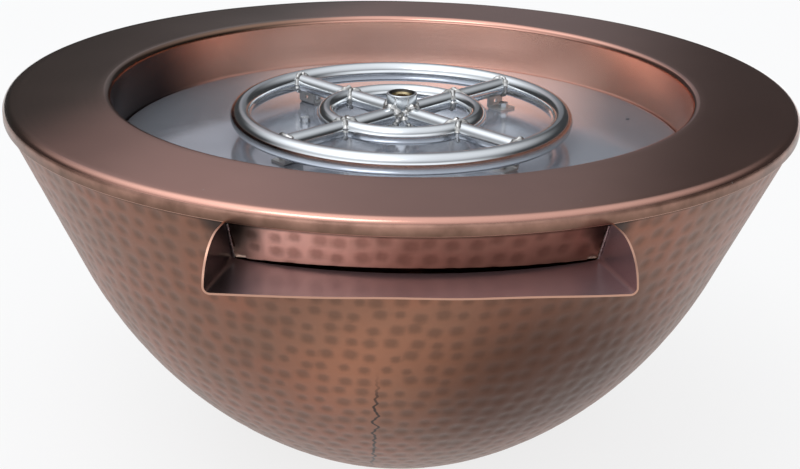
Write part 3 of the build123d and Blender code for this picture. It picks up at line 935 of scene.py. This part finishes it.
# %% Fold the spout
DIGITS = 6
spout = bmesh.new()
front = [spout.verts.new(spout_vertex(s, h, lip_distance(s, h))) for s, h in section]
front_edges = [spout.edges.new(pair) for pair in zip(front, front[1:])]
place_of = {vert.co.to_tuple(DIGITS): line for vert, line in zip(front, section)}
back, _ = grow(spout, front_edges)
for vert in back:
    share, height = place_of[vert.co.to_tuple(DIGITS)]
    vert.co = spout_vertex(share, height, wall_distance(share, height))
back_set = set(back)
long_edges = [edge for edge in spout.edges if (edge.verts[0] in back_set) != (edge.verts[1] in back_set)]
bmesh.ops.subdivide_edges(spout, edges=long_edges, cuts=DEPTH_CUTS, use_grid_fill=True)
print("spout has", len(spout.faces), "faces before it is thickened")

# %% [markdown]
# At the back a tongue of the floor goes on through the slot into the bowl. The lip sags a little in the
# middle, as thin sheet does.

# %% Tongue and lip
tongue_length = 26 * MM
LIP_SAG = 1.4 * MM
LIP_WAVE = 60 * MM
WAVE_ROW = 0.3
tongue_reach = cone_radius(spout_floor) - sheet / math.cos(wall_lean) - tongue_length
tongue_half = slot_half_width - seam_gap
tongue_level = spout_floor + tolerance
tongue_edges = [
    edge
    for edge in spout.edges
    if all(v in back_set and abs(v.co.x) < tongue_half and v.co.z < tongue_level for v in edge.verts)
]
tongue, _ = grow(spout, tongue_edges)
for vert in tongue:
    vert.co.y = -math.sqrt(tongue_reach ** 2 - vert.co.x ** 2)
for vert in spout.verts:
    outward = (-vert.co.y - cone_radius(spout_floor)) / (spout_reach - cone_radius(spout_floor))
    if outward > 0 and vert.co.z < spout_floor + spout_bend:
        share = vert.co.x / spout_half_width
        wave = 0.5 + 0.5 * noise.noise(Vector((vert.co.x / LIP_WAVE, WAVE_ROW, 0)))
        vert.co.z -= LIP_SAG * outward ** 2 * (1 - share ** 2) * wave
bmesh.ops.recalc_face_normals(spout, faces=spout.faces)
upward = sum(face.normal.z * face.calc_area() for face in spout.faces)
if upward < 0:
    bmesh.ops.reverse_faces(spout, faces=spout.faces)
spout_finishes = [satin["satin_copper_folded"], cut_copper]
spout_piece = finish_piece("folded_spout", spout, spout_finishes, "bowl", ["spout_tray"])
thicken(spout_piece, sheet)

# %% [markdown]
# ## The pan
# The pan is a flat disc with a turned-down skirt and one small weep hole. Its disc is filled between two
# circles, and the skirt grows out of the disc's edge by a row of extrusions round the bend.

# %% Draw the pan
PAN_SIDES = 256
WEEP_SIDES = 24
flat_margin = 4 * MM
pan_sheet = 1.5 * MM
pan_bend = 2.5 * MM
weep_radius = 2.5 * MM
weep_reach = 222 * MM
weep_angle = math.radians(13)
pan = bmesh.new()
flat_radius = pan_radius - pan_bend - flat_margin
disc = bmesh.ops.create_circle(
    pan, segments=PAN_SIDES, radius=flat_radius, matrix=Matrix.Translation((0, 0, pan_top))
)
weep_place = (weep_reach * math.cos(weep_angle), weep_reach * math.sin(weep_angle), pan_top)
bmesh.ops.create_circle(pan, segments=WEEP_SIDES, radius=weep_radius, matrix=Matrix.Translation(weep_place))
disc_edges = list({edge for vert in disc["verts"] for edge in vert.link_edges})
bmesh.ops.triangle_fill(pan, use_beauty=True, edges=pan.edges[:])
skirt = [(pan_radius - pan_bend, pan_top)]
skirt += arc((pan_radius - pan_bend, pan_top - pan_bend), pan_bend, 90, 0, BEND_STEPS)[1:]
skirt += [(pan_radius, pan_low.z)]
loop_edges = disc_edges
for radius, height in skirt:
    loop, loop_edges = grow(pan, loop_edges)
    for vert in loop:
        direction = vert.co.xy.normalized()
        vert.co = Vector((direction.x * radius, direction.y * radius, height))
bmesh.ops.recalc_face_normals(pan, faces=pan.faces)
if sum(face.normal.z for face in pan.faces) < 0:
    bmesh.ops.reverse_faces(pan, faces=pan.faces)
pan_piece = finish_piece("steel_pan", pan, [rolled_steel], "burner", ["burner_pan"])
thicken(pan_piece, pan_sheet)

# %% [markdown]
# ## The burner's rings
# Each ring is bent from tube, so a circle is spun about the axis. The circle's radius and its distance from
# the axis are read from the CAD ring's box.


# %% Bend the rings
def ring_sizes(node):
    """Ring radius, tube radius and level of a ring of tube."""
    low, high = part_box(node)
    tube = (high.z - low.z) / 2
    return high.x - tube, tube, (high.z + low.z) / 2


def bent_ring(name, node, sides, columns):
    """A closed ring of round tube."""
    ring_radius, tube_radius, level = ring_sizes(node)
    profile = arc((ring_radius, level), tube_radius, 0, 360 * (1 - 1 / sides), sides - 1)
    return finish_piece(
        name, turned(profile, columns, closed=True), [polished_steel], "burner", [node]
    )


bent_ring("outer_burner_ring", "outer_ring", sides=32, columns=240)
bent_ring("inner_burner_ring", "inner_ring", sides=28, columns=144)

# %% [markdown]
# ## Spokes and weld beads
# A spoke is a straight tube with its ends coped to fit round what it meets. The same curve along which a
# spoke meets a ring or the hub carries a bead of weld, so the same functions give that curve for both.

# %% Where a spoke meets what it is welded to
outer_radius, outer_tube, ring_level = ring_sizes("outer_ring")
inner_radius, inner_tube, _ = ring_sizes("inner_ring")
hub_radius = hub_high.x
spoke_radius = 8 * MM
spoke_count = 4
spoke_angle = math.radians(43)
spoke_turns = [spoke_angle + 2 * math.pi / spoke_count * index for index in range(spoke_count)]
weld_gap = 0.2 * MM


def hub_side(across, up):
    """Distance from the axis to the hub's outside, along a spoke's line."""
    return math.sqrt((hub_radius + weld_gap) ** 2 - across ** 2)


def ring_side(ring_radius, tube_radius, way):
    """A function for the distance along a spoke's line to a ring's outer (1) or inner (-1) side."""

    def meets(across, up):
        reach = ring_radius + way * math.sqrt((tube_radius + weld_gap) ** 2 - up ** 2)
        return math.sqrt(reach ** 2 - across ** 2)

    return meets


inner_near = ring_side(inner_radius, inner_tube, -1)
inner_far = ring_side(inner_radius, inner_tube, 1)
outer_near = ring_side(outer_radius, outer_tube, -1)
print("outer spokes run from", round(inner_far(0, 0), 4), "to", round(outer_near(0, 0), 4))

# %% Cope the spokes
SPOKE_SIDES = 28


def coped_spoke(name, node, start, end, turn):
    """A tube along a spoke, its ends following two meeting curves."""
    shape = bmesh.new()
    bmesh.ops.create_circle(shape, segments=SPOKE_SIDES, radius=spoke_radius)
    tops = set(grow(shape, shape.edges[:])[0])
    for vert in shape.verts:
        across, up = vert.co.x, vert.co.y
        meets = end if vert in tops else start
        vert.co = Vector((meets(across, up), across, up + ring_level))
    bmesh.ops.rotate(shape, verts=shape.verts, cent=(0, 0, 0), matrix=Matrix.Rotation(turn, 3, "Z"))
    bmesh.ops.recalc_face_normals(shape, faces=shape.faces)
    return finish_piece(name, shape, [polished_steel], "burner", [node])


for number, turn in enumerate(spoke_turns, 1):
    coped_spoke(f"outer_tube_{number}", f"outer_spoke_{number}", inner_far, outer_near, turn)
    coped_spoke(f"inner_tube_{number}", f"inner_spoke_{number}", hub_side, inner_near, turn)

# %% [markdown]
# A bead of weld or solder swells and shrinks along its line, so it is drawn as a curve that has a radius of
# its own at every point, and the curve is made a mesh.

# %% Beads of weld and solder
BEAD_RIPPLE = 0.35
BEAD_ROUNDNESS = 3


def laid_beads(name, lines, closed, material, body):
    """Beads along lines of points, each a tube of its own radius that swells and shrinks a little."""
    bead_chance = random.Random(5)
    curve = bpy.data.curves.new(name, "CURVE")
    curve.dimensions = "3D"
    curve.bevel_depth = MM
    curve.bevel_resolution = BEAD_ROUNDNESS
    curve.use_fill_caps = True
    for radius, line in lines:
        bead = curve.splines.new("POLY")
        bead.points.add(len(line) - 1)
        bead.use_cyclic_u = closed
        for point, spot in zip(bead.points, line):
            point.co = (*spot, 1)
            point.radius = radius / MM * (1 + bead_chance.uniform(-BEAD_RIPPLE, BEAD_RIPPLE))
    bead_line = bpy.data.objects.new(name, curve)
    bpy.context.scene.collection.objects.link(bead_line)
    evaluated = bead_line.evaluated_get(bpy.context.evaluated_depsgraph_get())
    mesh = bpy.data.meshes.new_from_object(evaluated)
    bpy.data.objects.remove(bead_line)
    beads = bmesh.new()
    beads.from_mesh(mesh)
    bmesh.ops.remove_doubles(beads, verts=beads.verts, dist=tolerance)
    bmesh.ops.recalc_face_normals(beads, faces=beads.faces)
    return finish_piece(name, beads, [material], body)


# %% Weld the spokes
WELD_POINTS = 40
RING_WELD = 2.3 * MM
HUB_WELD = 3.2 * MM
WELD_SINK = 0.98
weld_lines = []
for spoke_turn in spoke_turns:
    turn = Matrix.Rotation(spoke_turn, 3, "Z")
    for meets in (hub_side, inner_near, inner_far, outer_near):
        line = []
        for step in range(WELD_POINTS):
            angle = 2 * math.pi * step / WELD_POINTS
            across, up = spoke_radius * math.cos(angle), spoke_radius * math.sin(angle)
            reach = meets(across * WELD_SINK, up * WELD_SINK)
            line.append(turn @ Vector((reach, across, up + ring_level)))
        weld_lines.append((HUB_WELD if meets is hub_side else RING_WELD, line))
weld_steel = fittings["brushed_weld_bead"]
laid_beads("weld_beads", weld_lines, True, weld_steel, "burner")

# %% [markdown]
# The spout is soldered to the bowl along its cheeks. The solder has run and set as an uneven silvery bead.

# %% Solder the spout
SOLDER_POINTS = 24
SOLDER_RADIUS = 0.9 * MM
solder_lines = []
for side in (-1, 1):
    line = []
    for step in range(SOLDER_POINTS):
        height = spout_floor + (hem_bottom - sheet - spout_floor) * step / (SOLDER_POINTS - 1)
        corner = spout_vertex(side, height, wall_distance(side, height))
        line.append(corner - Vector((side * SOLDER_RADIUS, 0, 0)))
    solder_lines.append((SOLDER_RADIUS, line))
laid_beads("solder_seams", solder_lines, False, weld_steel, "bowl")

# %% [markdown]
# ## The hub
# The hub is a pipe coupling that stands on the pan, with a rounded top edge and a flared mouth. The flare,
# where the thread begins, is darkened with painted shade.

# %% Turn the hub
HUB_SIDES = 64
HUB_STEPS = 5
hub_bore = 9.6 * MM
hub_mouth = 11.6 * MM
mouth_depth = 2 * MM
hub_round = 0.8 * MM
hub_profile = [(hub_bore, hub_low.z), (hub_radius, hub_low.z)]
hub_profile += arc((hub_radius - hub_round, hub_high.z - hub_round), hub_round, 0, 90, HUB_STEPS)
hub_profile += [(hub_mouth, hub_high.z), (hub_bore, hub_high.z - mouth_depth)]
hub = turned(hub_profile, HUB_SIDES, closed=True)
# The flare gets the painted shade of the mouth.
for face in hub.faces:
    if hub_bore + tolerance < face.calc_center_median().xy.length < hub_mouth:
        face.material_index = 1
hub_finishes = [polished_steel, fittings["mouth_painted_shade"]]
finish_piece("hub_coupling", hub, hub_finishes, "burner", ["burner_hub"])

# %% [markdown]
# ## Pieces that keep their CAD shape
# The small fittings are right as they are and only need their finish.

# %% Dress the fittings
fitting_of = {
    "hub_plug": "machined_yellow_brass",
    "gas_adapter": "machined_yellow_brass",
    "inlet_coupling": "machined_yellow_brass",
    "base_plate": "mill_copper_pipe",
    "weir_box": "mill_copper_pipe",
    "water_riser": "mill_copper_pipe",
    "gas_sleeve": "mill_copper_pipe",
    "bracket_screws": "zinc_plated_steel",
    "pan_screw": "zinc_plated_steel",
    "adapter_washer": "nitrile_rubber",
}
finish_of = {node: fittings[finish] for node, finish in fitting_of.items()}
bracket_steel = fittings["sheared_bracket_steel"]
finish_of.update({f"bracket_{index + 1}": bracket_steel for index in range(spoke_count)})
for node, finish in finish_of.items():
    for slot in nodes[node].material_slots:
        slot.material = finish
print("dressed", len(finish_of), "CAD pieces")

# %% [markdown]
# ## Floor and light
# The bowl stands on a plain pale floor under a soft sky. To the camera and in mirrors most of the floor's
# brightness is a plain white glow, and the rest is matt paint that keeps the shadow.

# %% Floor paint
FLOOR_GLOW = 0.8
MOTTLE_SIZE = 667 * MM
floor_paint, tree, place = new_material("pale_floor_paint")
mottle = add_node(tree, "ShaderNodeTexNoise", {"Vector": place, "Scale": 1 / MOTTLE_SIZE, "Detail": 2.0})
paint = add_node(
    tree,
    "ShaderNodeMix",
    {0: mottle.outputs["Fac"], MIX_A: from_hex("#ededed"), MIX_B: from_hex("#e8e8e8")},
    data_type="RGBA",
)
matt = add_node(
    tree,
    "ShaderNodeBsdfPrincipled",
    {"Base Color": paint.outputs[MIX_OUT], "Roughness": 0.9, "Specular IOR Level": 0.1},
)
white = add_node(tree, "ShaderNodeEmission", {"Color": from_hex("#ffffff"), "Strength": 1.0})
path = add_node(tree, "ShaderNodeLightPath")
seen = path.outputs["Is Camera Ray"]
for ray in ("Is Glossy Ray", "Is Transmission Ray"):
    either = add_node(tree, "ShaderNodeMath", {0: seen, 1: path.outputs[ray]}, operation="MAXIMUM")
    seen = either.outputs["Value"]
share = add_node(tree, "ShaderNodeMath", {0: seen, 1: FLOOR_GLOW}, operation="MULTIPLY")
lit = add_node(
    tree,
    "ShaderNodeMixShader",
    {0: share.outputs["Value"], 1: matt.outputs["BSDF"], 2: white.outputs["Emission"]},
)
add_node(tree, "ShaderNodeOutputMaterial", {"Surface": lit.outputs["Shader"]})
print("made", floor_paint.name)

# %% Floor
FLOOR_SIZE = 12.0
FLOOR_DROP = 0.2 * MM
floor_shape = bmesh.new()
bmesh.ops.create_grid(
    floor_shape, x_segments=1, y_segments=1, size=FLOOR_SIZE, matrix=Matrix.Translation((0, 0, -FLOOR_DROP))
)
floor_mesh = bpy.data.meshes.new("floor")
floor_shape.to_mesh(floor_mesh)
floor_shape.free()
floor_mesh.materials.append(floor_paint)
floor = bpy.data.objects.new("floor", floor_mesh)
bpy.context.scene.collection.objects.link(floor)
print("floor reaches", FLOOR_SIZE, "m each way")

# %% [markdown]
# The sky is brightest overhead, more so to the left. It is bright in front, with a low window at the front
# left that the well's wall mirrors, and dark behind, apart from a gap that the flat lip mirrors. Each part
# is a product of smooth steps in a direction or in the height, so the metal shows soft changes of tone.

# %% Directions in the sky
GAP_SLANT = 1.5
FRONT_WAY = (-0.25, -0.97, 0.0)
WINDOW_WAY = (-0.53, -0.85, 0.0)
world = bpy.data.worlds.new("soft_sky")
bpy.context.scene.world = world
world.use_nodes = True
tree = world.node_tree
tree.nodes.clear()
look = add_node(tree, "ShaderNodeTexCoord").outputs["Generated"]
apart = add_node(tree, "ShaderNodeSeparateXYZ", {"Vector": look})
height = apart.outputs["Z"]
sideways = add_node(
    tree, "ShaderNodeMath", {0: apart.outputs["X"], 1: apart.outputs["Y"]}, operation="DIVIDE"
)
slanted = add_node(
    tree,
    "ShaderNodeMath",
    {0: height, 1: GAP_SLANT, 2: sideways.outputs["Value"]},
    operation="MULTIPLY_ADD",
)
front = add_node(tree, "ShaderNodeVectorMath", {0: look, 1: FRONT_WAY}, operation="DOT_PRODUCT")
window = add_node(tree, "ShaderNodeVectorMath", {0: look, 1: WINDOW_WAY}, operation="DOT_PRODUCT")
print("front of the sky is", FRONT_WAY)

# %% Parts of the sky
SKY_BASE = 0.06
# Each row: value, where the step starts and ends, and its level there.
sky_parts = {
    "gap": (
        (apart.outputs["Y"], 0.1, 0.3, 0, 1),
        (slanted.outputs["Value"], 0.2, 0.36, 0, 1),
        (sideways.outputs["Value"], 0.14, 0.31, 1, 0),
        (sideways.outputs["Value"], -0.14, 0.1, 0.5, 0.24),
        (height, 0.18, 0.36, 0.68, 1),
        (height, 0.45, 0.7, 1, 0),
    ),
    "front": (
        (front.outputs["Value"], -0.1, 0.85, 0, 1.45),
        (height, 0.42, 0.62, 1, 0),
        (height, 0.02, 0.22, 0.5, 1),
    ),
    "window": (
        (window.outputs["Value"], 0.84, 0.98, 0, 1.1),
        (height, 0.04, 0.14, 0, 1),
        (height, 0.26, 0.34, 1, 0),
    ),
    "high": ((height, 0.35, 1.0, 0, 1.5), (apart.outputs["X"], -0.5, 0.3, 1.5, 0.75)),
}
strength = SKY_BASE
part_levels = {}
for part, steps in sky_parts.items():
    level = 1.0
    for value, start, end, low, high in steps:
        step = add_node(
            tree,
            "ShaderNodeMapRange",
            {"Value": value, "From Min": start, "From Max": end, "To Min": low, "To Max": high},
            interpolation_type="SMOOTHSTEP",
        )
        level = add_node(
            tree, "ShaderNodeMath", {0: level, 1: step.outputs["Result"]}, operation="MULTIPLY"
        ).outputs["Value"]
    part_levels[part] = level
    strength = add_node(tree, "ShaderNodeMath", {0: strength, 1: level}, operation="ADD").outputs["Value"]
print("sky parts", list(sky_parts))

# %% Colour of the sky
across = add_node(
    tree, "ShaderNodeMapRange", {"Value": sideways.outputs["Value"], "From Min": -0.12, "From Max": 0.12}
)
gap_tint = add_node(
    tree,
    "ShaderNodeMix",
    {0: across.outputs["Result"], MIX_A: from_hex("#d8cad2"), MIX_B: from_hex("#cdd3ee")},
    data_type="RGBA",
)
tint = add_node(
    tree,
    "ShaderNodeMix",
    {0: part_levels["gap"], MIX_A: from_hex("#f4f7fc"), MIX_B: gap_tint.outputs[MIX_OUT]},
    data_type="RGBA",
)
glow = add_node(tree, "ShaderNodeBackground", {"Color": tint.outputs[MIX_OUT], "Strength": strength})
add_node(tree, "ShaderNodeOutputWorld", {"Surface": glow.outputs["Background"]})
print("made", world.name)

# %% [markdown]
# One softbox hangs overhead, in front and to the left, and gives the shadow its side.

# %% Softbox
SOFTBOX_SIZE = (0.9, 0.6)
SOFTBOX_POWER = 5.0
SOFTBOX_PLACE = Vector((-0.55, -0.85, 2.2))
SOFTBOX_AIM = Vector((0, 0, 0.3))
softbox_data = bpy.data.lights.new("softbox", "AREA")
softbox_data.shape = "RECTANGLE"
softbox_data.size, softbox_data.size_y = SOFTBOX_SIZE
softbox_data.energy = SOFTBOX_POWER
softbox = bpy.data.objects.new("softbox", softbox_data)
softbox.location = SOFTBOX_PLACE
softbox.rotation_euler = (SOFTBOX_AIM - SOFTBOX_PLACE).to_track_quat("-Z", "Y").to_euler()
bpy.context.scene.collection.objects.link(softbox)
print("softbox of", SOFTBOX_POWER, "watts")
